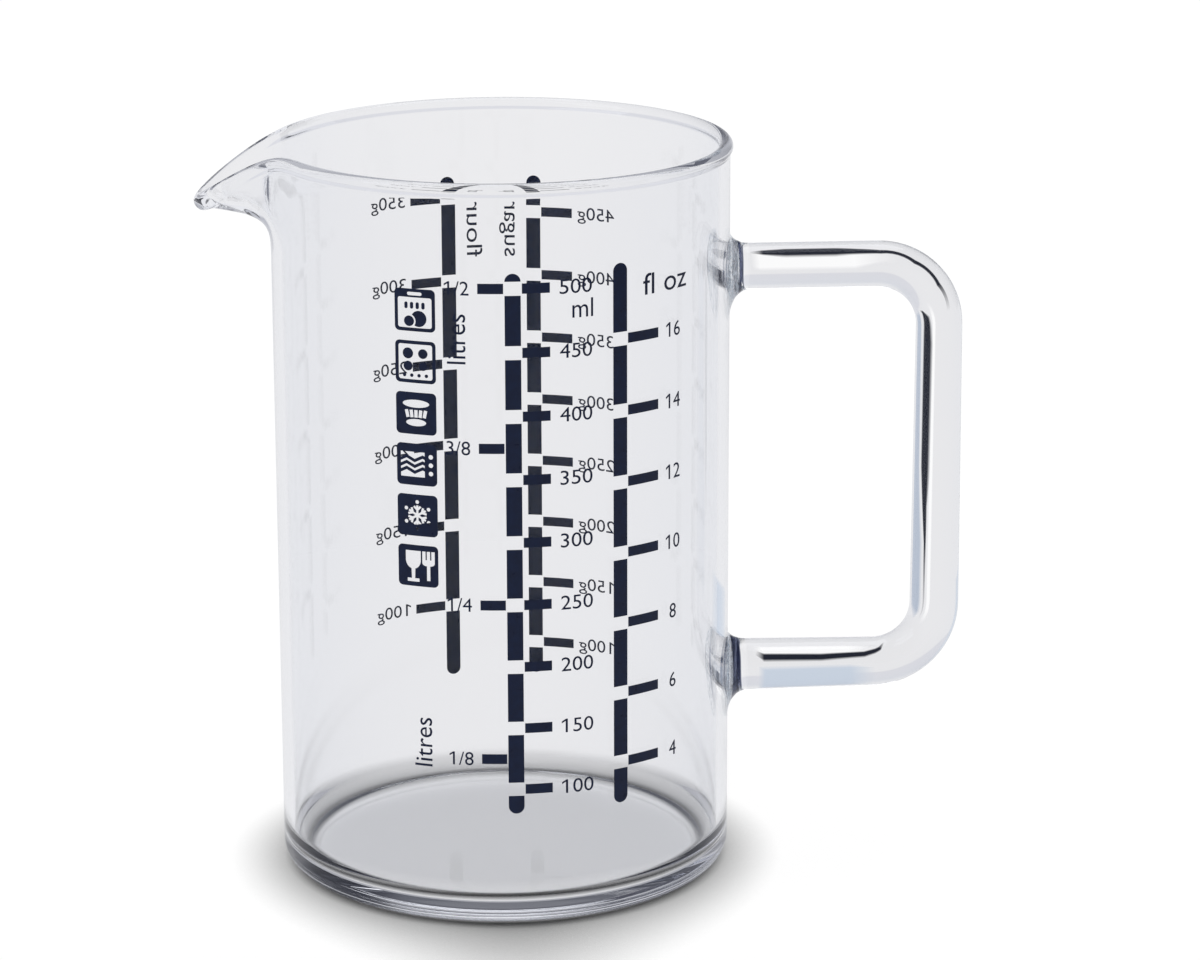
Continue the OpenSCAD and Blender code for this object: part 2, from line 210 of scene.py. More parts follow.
def fusedSeam(name, look):
    material, tree = newMaterial(name)  # where two melts run together only a mottled veil is left
    clouds = addNoise(tree, addPlace(tree), look["cloudScale"], look["cloudDetail"], look["cloudTwist"])
    veil = addRange(tree, clouds, look["cloudSpan"], (0.0, look["veil"]))
    seam = addNode(tree, "ShaderNodeBsdfPrincipled", {
        "Base Color": look["tone"], "Alpha": veil, "IOR": look["ior"], "Roughness": look["rough"]})
    addNode(tree, "ShaderNodeOutputMaterial", {"Surface": seam.outputs[0]})
    return material


vesselGlass = clearGlass("vessel_glass", vesselGlassLook)
rodGlass = clearGlass("rod_glass", rodGlassLook)
gatherGlass = {place: clearGlass(place + "_gather_glass", {
    **gatherGlassLook, "ring": ringStops(gatherGlassLook, place)}) for place in gatherGlassLook["rings"]}
seamGlass = fusedSeam("fused_seam", seamLook)
jointGlass = fusedSeam("fused_joint", {**seamLook, "veil": 0.0})


# fired enamel, with the faint grain of the screen it was printed through

enamelLook = {
    "thin": (0.0030, 0.0100, 0.0400, 1), "full": (0.0016, 0.0062, 0.0290, 1), "ior": 1.5, "glint": 0.2,
    "cloudScale": 700.0, "cloudDetail": 5.0, "toneSpan": (0.35, 0.65),
    "glossSpan": (0.3, 0.7), "gloss": (0.26, 0.42),
    "grainScale": 9000.0, "grainDetail": 2.0, "grainDepth": 0.000012, "grainStrength": 0.25,
}


def firedEnamel(name, look):
    material, tree = newMaterial(name)
    place = addPlace(tree)
    clouds = addNoise(tree, place, look["cloudScale"], look["cloudDetail"])
    grain = addNoise(tree, place, look["grainScale"], look["grainDetail"])
    tone = addRamp(tree, clouds, tuple(zip(look["toneSpan"], (look["full"], look["thin"]))))
    gloss = addRange(tree, clouds, look["glossSpan"], look["gloss"])
    bump = addBump(tree, grain, look["grainStrength"], look["grainDepth"])
    enamel = addNode(tree, "ShaderNodeBsdfPrincipled", {
        "Base Color": tone, "Roughness": gloss, "IOR": look["ior"], "Specular IOR Level": look["glint"],
        "Normal": bump})
    addNode(tree, "ShaderNodeOutputMaterial", {"Surface": enamel.outputs[0]})
    return material


enamel = firedEnamel("navy_enamel", enamelLook)
print("materials ready")


# vessel: a half section spun round, then the spout drawn out of its top band

vesselSize = {
    "radius": 40.0, "height": 130.5, "wall": 1.9, "floor": 3.0, "heel": 3.5, "innerHeel": 5.0,
    "bead": 1.2, "beadNeck": 1.0,
    "spoutReach": 13.2, "spoutDip": 9.1, "dipEase": 1.2, "spoutHeight": 20.0,
    "spoutSpread": 8.0, "spoutFade": 3.5,  # spread in degrees, and the fade in spreads
    "throat": 0.625, "crook": 0.65, "crookReach": 0.1, "tipSwell": 0.4,
    "turns": 288, "bandRows": 40, "arcSteps": 10, "lipSteps": 24, "wallRows": 20, "hold": 0.3,
}
wallRadius = vesselSize["radius"]
boreRadius = wallRadius - vesselSize["wall"]
bandFoot = vesselSize["height"] - vesselSize["spoutHeight"]
plainLip = vesselSize["height"] - vesselSize["bead"]


def spoutPull(angle):
    reach = vesselSize["spoutFade"] * vesselSize["spoutSpread"]
    strength = lambda a: math.exp(-(a / vesselSize["spoutSpread"]) ** 2 / 2)
    return max(0.0, (strength(angle) - strength(reach)) / (1 - strength(reach)))


def bandPoint(v, pull):
    size = vesselSize
    top, drawn = size["height"], (size["spoutReach"] - size["bead"] * (1 + size["tipSwell"])) * pull
    lip = plainLip - size["spoutDip"] * pull ** size["dipEase"]
    throat, crook = (top - size[name] * size["spoutHeight"] for name in ("throat", "crook"))
    ends = [Vector((wallRadius, bandFoot)),
            Vector((wallRadius, mix(mix(bandFoot, lip, 1 / 3), throat, pull))),
            Vector((wallRadius + size["crookReach"] * drawn, mix(mix(bandFoot, lip, 2 / 3), crook, pull))),
            Vector((wallRadius + drawn, lip))]
    u = 1 - v
    point = u ** 3 * ends[0] + 3 * u * u * v * ends[1] + 3 * u * v * v * ends[2] + v ** 3 * ends[3]
    along = u * u * (ends[1] - ends[0]) + 2 * u * v * (ends[2] - ends[1]) + v * v * (ends[3] - ends[2])
    return point, along.normalized()


def arcPoints(x, y, radius, start, end, steps):
    angles = [math.radians(mix(start, end, i / steps)) for i in range(steps + 1)]
    return [(x + radius * math.cos(a), y + radius * math.sin(a)) for a in angles]


def wallHeights(foot):
    low = foot + vesselSize["hold"]
    return [mix(low, bandFoot, i / vesselSize["wallRows"]) for i in range(vesselSize["wallRows"])]


def vesselSection():
    size, bead, neck, rows = vesselSize, vesselSize["bead"], vesselSize["beadNeck"], vesselSize["bandRows"]
    beadX = boreRadius + bead
    out = wallRadius + neck - beadX
    drop = math.sqrt((bead + neck) ** 2 - out ** 2)
    lean = math.degrees(math.atan2(drop, out))
    outer = [(wallRadius, mix(bandFoot, plainLip - drop, i / rows)) for i in range(rows)]
    throat = arcPoints(wallRadius + neck, plainLip - drop, neck, 180, 180 - lean, size["arcSteps"])
    lip = arcPoints(beadX, plainLip, bead, -lean, 180, size["lipSteps"])[1:]
    inner = [(boreRadius, mix(plainLip, bandFoot, i / rows)) for i in range(1, rows + 1)]
    heel = arcPoints(wallRadius - size["heel"], size["heel"], size["heel"], -90, 0, size["arcSteps"])
    curve = size["innerHeel"]
    innerHeel = arcPoints(boreRadius - curve, size["floor"] + curve, curve, 0, -90, size["arcSteps"])
    # rows close to each heel keep its roundness out of the flat floor and the straight wall
    wall = [(wallRadius, z) for z in wallHeights(size["heel"])]
    bore = [(boreRadius, z) for z in wallHeights(innerHeel[0][1])][::-1]
    flatEnds = [(heel[0][0] - size["hold"], 0), (innerHeel[-1][0] - size["hold"], size["floor"])]
    return ([(0, 0), flatEnds[0]] + heel + wall + outer + throat + lip + inner + bore + innerHeel
            + [flatEnds[1], (0, size["floor"])])


def drawSpout(bm):
    for vert in bm.verts:
        if vert.co.z <= bandFoot:
            continue
        pull = spoutPull(math.degrees(math.atan2(vert.co.y, -vert.co.x)))
        if pull == 0:
            continue
        r = math.hypot(vert.co.x, vert.co.y)
        v = min(1, (vert.co.z - bandFoot) / (plainLip - bandFoot))
        past = max(0, vert.co.z - plainLip)
        point, along = bandPoint(v, pull)
        out = Vector((along.y, -along.x))
        offset = r - wallRadius
        swell = vesselSize["tipSwell"] * pull ** 2 * v ** 3  # the drawn tip keeps more glass
        offset += (offset + vesselSize["wall"]) * swell
        moved = point + offset * out + past * (1 + swell) * along
        vert.co = Vector((vert.co.x / r * moved.x, vert.co.y / r * moved.x, moved.y))


def clipPatch(bm, faces, outline):
    for (y, z), (nextY, nextZ) in zip(outline, outline[1:] + outline[:1]):
        corner, outward = Vector((0, y, z)), Vector((0, nextZ - z, y - nextY))
        geom = [*faces, *(e for f in faces for e in f.edges), *(v for f in faces for v in f.verts)]
        geom = list(dict.fromkeys(geom))  # each one once, in an order that is the same in every run
        cut = bmesh.ops.bisect_plane(bm, geom=geom, dist=cutGap, plane_co=corner, plane_no=outward)
        faces = [f for f in cut["geom"] if isinstance(f, bmesh.types.BMFace)
                 and (f.calc_center_median() - corner).dot(outward) < 0]
    return faces


# welds: the patch of wall under each one is cut out of the vessel's skin, and the weld grows from it

handleSize = {
    "upperArm": 107.0, "lowerArm": 33.7, "gripX": 77.4, "bend": 11.0,
    "upperRod": 8.2, "middleRod": 8.75, "lowerRod": 9.3, "sides": 64, "step": 2.5, "bendSteps": 20,
}
weldSize = {"end": 43.4, "width": 15.6, "rise": 6.9, "drop": 9.5, "outlineSides": 44, "rings": 12,
            "ripple": 0.1, "rippleScale": 0.3, "rippleStretch": (5, 2), "skin": 0.1, "margin": 1}
weldPlaces = {"upper": (handleSize["upperArm"], handleSize["upperRod"] / 2),
              "lower": (handleSize["lowerArm"], handleSize["lowerRod"] / 2)}


def weldFoot(angle):
    y = weldSize["width"] / 2 * math.sin(angle)
    return y, math.cos(angle) * (weldSize["rise"] if math.cos(angle) > 0 else weldSize["drop"])


def growWeld(bm, height, rodRadius):
    seam = list(bm.faces)
    for face in seam:
        face.material_index = 1
    edge = [e for e in bm.edges if e.is_boundary]
    for ring in range(1, weldSize["rings"] + 1):
        lift = math.radians(90 * (1 - ring / weldSize["rings"]))
        grown = bmesh.ops.extrude_edge_only(bm, edges=edge)["geom"]
        edge = [g for g in grown if isinstance(g, bmesh.types.BMEdge) and g.is_boundary]
        for face in (g for g in grown if isinstance(g, bmesh.types.BMFace)):
            face.material_index = 0
        for vert in (g for g in grown if isinstance(g, bmesh.types.BMVert)):
            turn = math.atan2(vert.co.y, vert.co.z - height)
            for _ in range(4):  # the outline's own angle at this bearing
                y, z = weldFoot(turn)
                turn += math.atan2(vert.co.y, vert.co.z - height) - math.atan2(y, z)
            y, z = weldFoot(turn)
            reach = math.hypot(y, z)
            spread = mix(rodRadius, reach, 1 - math.cos(lift))
            outward, sideways = weldSize["rippleStretch"]
            spot = Vector((outward * ring, vert.co.y * sideways, vert.co.z))
            ripple = noise.noise(weldSize["rippleScale"] * spot)
            spread += weldSize["ripple"] * ripple * math.sin(2 * lift)
            wallX = math.sqrt(wallRadius ** 2 - y * y)
            vert.co = Vector((mix(weldSize["end"], wallX, math.sin(lift)), y / reach * spread,
                              height + z / reach * spread))
    for face in bmesh.ops.edgeloop_fill(bm, edges=edge)["faces"]:
        face.material_index = 2
    bmesh.ops.recalc_face_normals(bm, faces=bm.faces)


footOutline = [weldFoot(math.tau * i / weldSize["outlineSides"]) for i in range(weldSize["outlineSides"])]
patchReach = weldSize["width"] / 2 + weldSize["margin"]


def onWeldSide(vert):
    onSkin = math.hypot(vert.co.x, vert.co.y) > wallRadius - weldSize["skin"]
    return vert.co.x > 0 and abs(vert.co.y) < patchReach and onSkin


vesselBm = bmesh.new()
section = [vesselBm.verts.new((r, 0, z)) for r, z in vesselSection()]
sectionEdges = [vesselBm.edges.new(pair) for pair in zip(section, section[1:])]
bmesh.ops.spin(vesselBm, geom=section + sectionEdges, cent=(0, 0, 0), axis=(0, 0, 1), angle=math.tau,
               steps=vesselSize["turns"], use_merge=True)
bmesh.ops.remove_doubles(vesselBm, verts=vesselBm.verts, dist=mergeGap)
bmesh.ops.recalc_face_normals(vesselBm, faces=vesselBm.faces)
drawSpout(vesselBm)
for mark, (height, _) in enumerate(weldPlaces.values(), 1):
    outline = [(y, height + z) for y, z in footOutline]
    near = [f for f in vesselBm.faces if all(onWeldSide(v) for v in f.verts)
            and min(v.co.z for v in f.verts) < height + weldSize["rise"]
            and max(v.co.z for v in f.verts) > height - weldSize["drop"]]
    for face in clipPatch(vesselBm, near, outline[::-1]):
        face.material_index = mark
for mark, (place, (height, rodRadius)) in enumerate(weldPlaces.items(), 1):
    weldBm = vesselBm.copy()
    bmesh.ops.delete(weldBm, geom=[f for f in weldBm.faces if f.material_index != mark], context="FACES")
    growWeld(weldBm, height, rodRadius)
    weldGlass = [gatherGlass[place], seamGlass, jointGlass]
    newPiece(place + "_gather", weldBm, weldGlass, [place + "_weld"])
for face in vesselBm.faces:
    face.material_index = min(1, face.material_index)
newPiece("blown_vessel", vesselBm, [vesselGlass, seamGlass], ["vessel"])
print("vessel and welds made")


# handle: a round rod drawn along its arms, with two spun bends

def drawRod(bm, end, way, length, endScale):
    steps = max(1, round(length / handleSize["step"]))
    for i in range(steps):
        grown = bmesh.ops.extrude_face_region(bm, geom=[end])["geom"]
        end = next(g for g in grown if isinstance(g, bmesh.types.BMFace))
        bmesh.ops.translate(bm, vec=way * length / steps, verts=end.verts)
        ease = mix(1, endScale, (i + 1) / steps) / mix(1, endScale, i / steps)
        bmesh.ops.scale(bm, vec=(ease, ease, ease), space=Matrix.Translation(-end.calc_center_median()),
                        verts=end.verts)
    return end


def bendRod(bm, end, centre):
    turned = bmesh.ops.spin(bm, geom=[end], cent=centre, axis=(0, 1, 0), angle=math.radians(90),
                            steps=handleSize["bendSteps"])["geom_last"]
    return next(g for g in turned if isinstance(g, bmesh.types.BMFace))


rodBm = bmesh.new()
armLength = handleSize["gripX"] - handleSize["bend"] - weldSize["end"]
gripLength = handleSize["upperArm"] - handleSize["lowerArm"] - 2 * handleSize["bend"]
bendX = handleSize["gripX"] - handleSize["bend"]
gripGrowth = handleSize["middleRod"] / handleSize["upperRod"]
lowerGrowth = handleSize["lowerRod"] / handleSize["middleRod"]
startPlace = Matrix.Translation((weldSize["end"], 0, handleSize["upperArm"]))
startPlace = startPlace @ Matrix.Rotation(math.pi / 2, 4, "Y")
bmesh.ops.create_circle(rodBm, cap_ends=True, segments=handleSize["sides"], radius=handleSize["upperRod"] / 2,
                        matrix=startPlace)
rodEnd = drawRod(rodBm, list(rodBm.faces)[0], Vector((1, 0, 0)), armLength, 1)
rodEnd = bendRod(rodBm, rodEnd, (bendX, 0, handleSize["upperArm"] - handleSize["bend"]))
rodEnd = drawRod(rodBm, rodEnd, Vector((0, 0, -1)), gripLength, gripGrowth)
rodEnd = bendRod(rodBm, rodEnd, (bendX, 0, handleSize["lowerArm"] + handleSize["bend"]))
drawRod(rodBm, rodEnd, Vector((-1, 0, 0)), armLength, lowerGrowth)
bmesh.ops.delete(rodBm, geom=[f for f in rodBm.faces if len(f.verts) > 4], context="FACES_ONLY")
bmesh.ops.holes_fill(rodBm, edges=[e for e in rodBm.edges if e.is_boundary], sides=0)
bmesh.ops.recalc_face_normals(rodBm, faces=rodBm.faces)
for face in rodBm.faces:
    face.material_index = 1 if len(face.verts) > 4 else 0
newPiece("bent_handle", rodBm, [rodGlass, jointGlass], ["handle"])
print("handle made")


# enamel: flat outlines in millimetres round and up the wall, given a thickness and wrapped on to it

printSize = {"sunk": 0.02, "proud": 0.03, "slice": 1.0, "front": 270.0, "back": 90.0}
scaleSize = {
    "bar": 2.7, "tick": 1.75, "gap": 2.4, "space": 0.2, "tail": 4.4, "top": 116.0,
    "mlTick": 4.7, "litreTick": 4.3, "ozTick": 6.5, "gramTick": 6.0, "ozBar": 18.9, "gramBar": 8.1,
    "endSteps": 16,
}
litre = 100 ** 3  # cubic millimetres
fluidOunce = 0.0284131  # litres
bulkDensity = {"flour": 705, "sugar": 930}  # grams in a litre
cornerCentre = 0.2234  # how far inside the bore the heel's glass has its middle, in shares of its radius
heelLoss = 2 * math.pi * (1 - math.pi / 4) * vesselSize["innerHeel"] ** 2
heelLoss *= boreRadius - cornerCentre * vesselSize["innerHeel"]


def markHeight(share):
    return vesselSize["floor"] + (share * litre + heelLoss) / (math.pi * boreRadius ** 2)


def flatMesh(data):
    carrier = bpy.data.objects.new("flat", data)
    scene.collection.objects.link(carrier)
    shown = carrier.evaluated_get(bpy.context.evaluated_depsgraph_get())
    mesh = bpy.data.meshes.new_from_object(shown)
    bpy.data.objects.remove(carrier)
    return mesh


def outlineMesh(loops):
    curve = bpy.data.curves.new("outline", "CURVE")
    curve.dimensions, curve.fill_mode = "2D", "BOTH"
    for loop in loops:
        spline = curve.splines.new("POLY")
        spline.points.add(len(loop) - 1)
        spline.use_cyclic_u = True
        for point, (x, y) in zip(spline.points, loop):
            point.co = (x, y, 0, 1)
    return flatMesh(curve)


def enamelPiece(name, meshes, side, nodes=()):
    bm = bmesh.new()
    for mesh, place in meshes:
        start = len(bm.verts)
        bm.from_mesh(mesh)
        bm.verts.ensure_lookup_table()
        bmesh.ops.transform(bm, matrix=place, verts=bm.verts[start:])
    bmesh.ops.remove_doubles(bm, verts=bm.verts, dist=mergeGap)
    low, high = min(v.co.x for v in bm.verts), max(v.co.x for v in bm.verts)
    for i in range(math.ceil(low / printSize["slice"]), math.ceil(high / printSize["slice"])):
        bmesh.ops.bisect_plane(bm, geom=bm.verts[:] + bm.edges[:] + bm.faces[:], dist=cutGap,
                               plane_co=(i * printSize["slice"], 0, 0), plane_no=(1, 0, 0))
    bmesh.ops.recalc_face_normals(bm, faces=bm.faces)
    bmesh.ops.solidify(bm, geom=bm.faces[:], thickness=printSize["sunk"] + printSize["proud"])
    base = min(v.co.z for v in bm.verts)
    for vert in bm.verts:
        r = wallRadius - printSize["sunk"] + vert.co.z - base
        bearing = math.radians(side) + vert.co.x / wallRadius
        vert.co = Vector((r * math.cos(bearing), r * math.sin(bearing), vert.co.y))
    bmesh.ops.recalc_face_normals(bm, faces=bm.faces)
    newPiece(name, bm, [enamel], nodes)


def boxLoop(x0, x1, y0, y1):
    return [(x0, y0), (x1, y0), (x1, y1), (x0, y1)]


def barLoop(x, low, high, roundLow, roundHigh):
    half, steps = scaleSize["bar"] / 2, scaleSize["endSteps"]
    foot, head = [(x - half, low), (x + half, low)], [(x + half, high), (x - half, high)]
    if roundLow:
        foot = arcPoints(x, low + half, half, 180, 360, steps)
    if roundHigh:
        head = arcPoints(x, high - half, half, 0, 180, steps)
    return foot + head


def barLoops(x, low, high, levels):
    half = scaleSize["gap"] / 2
    cuts = [low] + [cut for z in levels for cut in (z - half, z + half)] + [high]
    last = len(cuts) - 2
    return [barLoop(x, cuts[i], cuts[i + 1], i == 0, i == last) for i in range(0, last + 1, 2)
            if cuts[i + 1] > cuts[i]]


def tickLoops(x, hand, length, levels):
    inner = x + hand * (scaleSize["bar"] / 2 + scaleSize["space"])
    ends = sorted((inner, inner + hand * length))
    return [boxLoop(*ends, z - scaleSize["tick"] / 2, z + scaleSize["tick"] / 2) for z in levels]


def scaleLevels(shares):
    return [markHeight(s) for s in shares if markHeight(s) + scaleSize["gap"] / 2 < scaleSize["top"]]


flat = Matrix.Identity(4)
mlMarks = list(range(100, 501, 50))
litreMarks = {"1/8": 0.125, "1/4": 0.25, "3/8": 0.375, "1/2": 0.5}
ozMarks = list(range(4, 17, 2))
flourMarks = list(range(100, 351, 50))
sugarMarks = list(range(100, 451, 50))
mlLevels = scaleLevels([m / 1000 for m in mlMarks])
litreLevels = scaleLevels(litreMarks.values())
ozLevels = scaleLevels([n * fluidOunce for n in ozMarks])
flourLevels = scaleLevels([g / bulkDensity["flour"] for g in flourMarks])
sugarLevels = scaleLevels([g / bulkDensity["sugar"] for g in sugarMarks])
gramScales = (("flour", 1, flourMarks, flourLevels), ("sugar", -1, sugarMarks, sugarLevels))
barFoot = mlLevels[0] - scaleSize["tail"]
mlTop = mlLevels[-1] + (scaleSize["gap"] + scaleSize["bar"]) / 2

enamelPiece("millilitre_print", [(outlineMesh(
    barLoops(0, barFoot, mlTop, mlLevels) + tickLoops(0, 1, scaleSize["mlTick"], mlLevels)), flat)],
    printSize["front"], ["millilitre_scale"])
enamelPiece("litre_print", [(outlineMesh(tickLoops(0, -1, scaleSize["litreTick"], litreLevels)), flat)],
            printSize["front"], ["litre_ticks"])
enamelPiece("fluid_ounce_print", [(outlineMesh(
    barLoops(scaleSize["ozBar"], barFoot, scaleSize["top"], ozLevels)
    + tickLoops(scaleSize["ozBar"], 1, scaleSize["ozTick"], ozLevels)), flat)],
    printSize["front"], ["fluid_ounce_scale"])
for name, hand, _, levels in gramScales:
    bar = hand * scaleSize["gramBar"]
    enamelPiece(name + "_print", [(outlineMesh(
        barLoops(bar, barFoot, scaleSize["top"], levels)
        + tickLoops(bar, hand, scaleSize["gramTick"], levels)), flat)],
        printSize["back"], [name + "_scale"])
print("scales printed")


# figures and unit words of the scales

figureSize = {
    "ml": 2.5, "mlLeft": 7.9, "mlWidth": 5.7, "mlWord": (10.1, 107.5, 3.2, 3.7),
    "litre": 2.4, "litreRight": -7.3, "oz": 2.6, "ozMiddle": 30.6, "ozWord": (23.6, 109.8, 3.7, 10.4),
    "gram": 3.1, "gramSink": 1.8, "gramStretch": 1.2, "gramStart": 16.8,
    "litreWords": ((-7.9, 100.0, 8.5, 3.2), (-14.5, 28.8, 8.7, 3.2)),
    "gramWord": (1.6, 101.0, 10.5, 3.0), "fontSteps": 4, "oneEnd": 0.31,
    "one": ((0.30, 0), (0.30, 0.682), (0.222, 0.682), (0.03, 0.560), (0.03, 0.468), (0.202, 0.570),
            (0.202, 0)),
}


def wordMesh(body):
    text = bpy.data.curves.new("word", "FONT")
    text.body = body
    text.resolution_u = figureSize["fontSteps"]
    mesh = flatMesh(text)
    if body[0] != "1":
        return mesh
    bm = bmesh.new()  # the font's first figure is a bare stroke, so it is drawn here with its flag
    bm.from_mesh(mesh)
    bmesh.ops.delete(bm, geom=[v for v in bm.verts if v.co.x < figureSize["oneEnd"]], context="VERTS")
    bm.from_mesh(outlineMesh([figureSize["one"]]))
    bm.to_mesh(mesh)
    bm.free()
    return mesh


def wordBox(mesh):
    xs, ys = [v.co.x for v in mesh.vertices], [v.co.y for v in mesh.vertices]
    return min(xs), max(xs), min(ys), max(ys)


def placeWord(body, x, y, height, width=None, anchor="left", upright=False, stretch=1.0):
    mesh = wordMesh(body)
    left, right, low, high = wordBox(mesh)
    tall = height / (high - low)
    wide = width / (right - left) if width else tall * stretch
    shift = {"left": left, "middle": (left + right) / 2, "right": right}[anchor]
    grow = Matrix.Diagonal((wide, tall, 1, 1)) @ Matrix.Translation((-shift, -low, 0))
    turn = Matrix.Rotation(math.pi / 2, 4, "Z") if upright else Matrix.Identity(4)
    return mesh, Matrix.Translation((x, y, 0)) @ turn @ grow


size = figureSize
mlFigures = [placeWord(str(m), size["mlLeft"], z - size["ml"] / 2, size["ml"], size["mlWidth"])
             for m, z in zip(mlMarks, mlLevels)]
x, y, height, width = size["mlWord"]
mlFigures.append(placeWord("ml", x, y, height, width))
enamelPiece("millilitre_figures", mlFigures, printSize["front"])
litreFigures = [placeWord(word, size["litreRight"], z - size["litre"] / 2, size["litre"], anchor="right")
                for word, z in zip(litreMarks, litreLevels)]
for x, y, length, height in size["litreWords"]:
    litreFigures.append(placeWord("litres", x, y, height, length, upright=True))
enamelPiece("litre_figures", litreFigures, printSize["front"])
ozFigures = [placeWord(str(n), size["ozMiddle"], z - size["oz"] / 2, size["oz"], anchor="middle")
             for n, z in zip(ozMarks, ozLevels)]
x, y, height, width = size["ozWord"]
ozFigures.append(placeWord("fl oz", x, y, height, width))
enamelPiece("fluid_ounce_figures", ozFigures, printSize["front"])
for word, hand, marks, levels in gramScales:
    anchor = "left" if hand > 0 else "right"
    figures = [placeWord(str(m) + "g", hand * size["gramStart"], z - size["gramSink"], size["gram"],
                         anchor=anchor, stretch=size["gramStretch"]) for m, z in zip(marks, levels)]
    x, y, length, height = size["gramWord"]
    figures.append(placeWord(word, x + height if hand > 0 else -x, y, height, length, upright=True))
    enamelPiece(word + "_figures", figures, printSize["back"])
print("figures printed")


# care symbols, drawn from discs, bars and plates in shares of a symbol's width

symbolSize = {"width": 7.25, "pitch": 8.87, "arc": -16.65, "top": 108.8, "corner": 0.8, "line": 0.6,
              "ovalSteps": 28, "fineSteps": 56, "cornerSteps": 8}


def ovalLoop(x, y, width, height=None, steps=symbolSize["ovalSteps"]):
    height = height or width
    turns = [math.tau * i / steps for i in range(steps)]
    return [(x + width / 2 * math.cos(a), y + height / 2 * math.sin(a)) for a in turns]


def pillLoop(x, y, width, height, corner):
    w, h = width / 2 - corner, height / 2 - corner
    quarters = ((w, h, 0), (-w, h, 90), (-w, -h, 180), (w, -h, 270))
    steps = symbolSize["cornerSteps"]
    return [p for cx, cy, a in quarters for p in arcPoints(x + cx, y + cy, corner, a, a + 90, steps)]


def lineLoop(x0, y0, x1, y1, width):
    along = Vector((x1 - x0, y1 - y0)).normalized() * width / 2
    return [(x0 - along.y, y0 + along.x), (x0 + along.y, y0 - along.x),
            (x1 + along.y, y1 - along.x), (x1 - along.y, y1 + along.x)]


def turnedLoop(loop, angle):
    c, s = math.cos(math.radians(angle)), math.sin(math.radians(angle))
    return [(c * x - s * y, s * x + c * y) for x, y in loop]


edge = symbolSize["line"] / symbolSize["width"]
corner = symbolSize["corner"] / symbolSize["width"]
plate = pillLoop(0, 0, 1, 1, corner)


def frameLoops(band):
    return [plate, pillLoop(0, (edge - band) / 2, 1 - 2 * edge, 1 - edge - band, corner / 2)]


rinseLoops = frameLoops(0.2) + [pillLoop(0, 0.385, 0.36, 0.08, 0.039)]
rinseLoops += [pillLoop(x, 0.11, 0.08, 0.16, 0.039) for x in (-0.21, -0.07, 0.07, 0.21)]
hobLoops = frameLoops(edge)
hobPlates = ((-0.18, 0.2, 0.26), (0.19, 0.2, 0.23), (-0.18, -0.1, 0.23), (0.19, -0.1, 0.2))
hobLoops += [ovalLoop(*hobPlate) for hobPlate in hobPlates]
hobLoops += [ovalLoop(x, -0.32, 0.085) for x in (-0.27, -0.09, 0.09, 0.27)]
heatLoops = [plate, ovalLoop(0, 0.23, 0.66, 0.19), ovalLoop(0, -0.22, 0.5, 0.17)]
heatLoops += [lineLoop(x, -0.1, 1.2 * x, 0.08, edge) for x in (-0.2, -0.1, 0, 0.1, 0.2)]


def pushedLoop(loop, x, y, width):
    pushed = []
    for point in loop:  # a point inside the disc moves out to its edge
        away = Vector(point) - Vector((x, y))
        pushed.append(point if away.length > width / 2 else (x + away.normalized().x * width / 2,
                                                             y + away.normalized().y * width / 2))
    return pushed


cupX, cupY, cupWidth, cupClear = -0.14, -0.26, 0.25, 0.33
dish = ovalLoop(0.1, -0.2, 0.38, steps=symbolSize["fineSteps"])
rinseLoops += [ovalLoop(cupX, cupY, cupWidth), pushedLoop(dish, cupX, cupY, cupClear)]


def waveLoops():
    path = [(-0.4, -0.025), (-0.25, 0.05), (-0.05, -0.05), (0.15, 0.05), (0.2, 0.025)]
    rows = [-0.14, 0, 0.14]
    upper = lambda row: [(x, row + y + edge / 2) for x, y in path]
    lower = lambda row: [(x, row + y - edge / 2) for x, y in path][::-1]
    panes = [[(-0.4, -0.3), (0.2, -0.3)] + lower(rows[0]), upper(rows[-1]) + [(0.2, 0.3), (-0.4, 0.3)]]
    panes += [upper(a) + lower(b) for a, b in zip(rows, rows[1:])]
    return [plate] + panes + [ovalLoop(0.35, y, 0.11) for y in (-0.2, 0, 0.2)]


def frostLoops():
    half, arm, fork, branch, slant = 0.0275, 0.24, 0.13, 0.12, math.sqrt(0.5)
    under, over = 0.414 * half, 2.414 * half  # where a branch at 45 degrees leaves its arm
    side = [(half, half * math.sqrt(3)), (half, fork - under),
            (slant * (branch + half), fork + slant * (branch - half)),
            (slant * (branch - half), fork + slant * (branch + half)), (half, fork + over), (half, arm)]
    whole = side + [(-x, y) for x, y in side[:0:-1]]
    flake = [p for i in range(6) for p in turnedLoop(whole, 60 * i)]
    return [plate, flake] + [turnedLoop(ovalLoop(0, 0.32, 0.09), 60 * i) for i in range(6)]


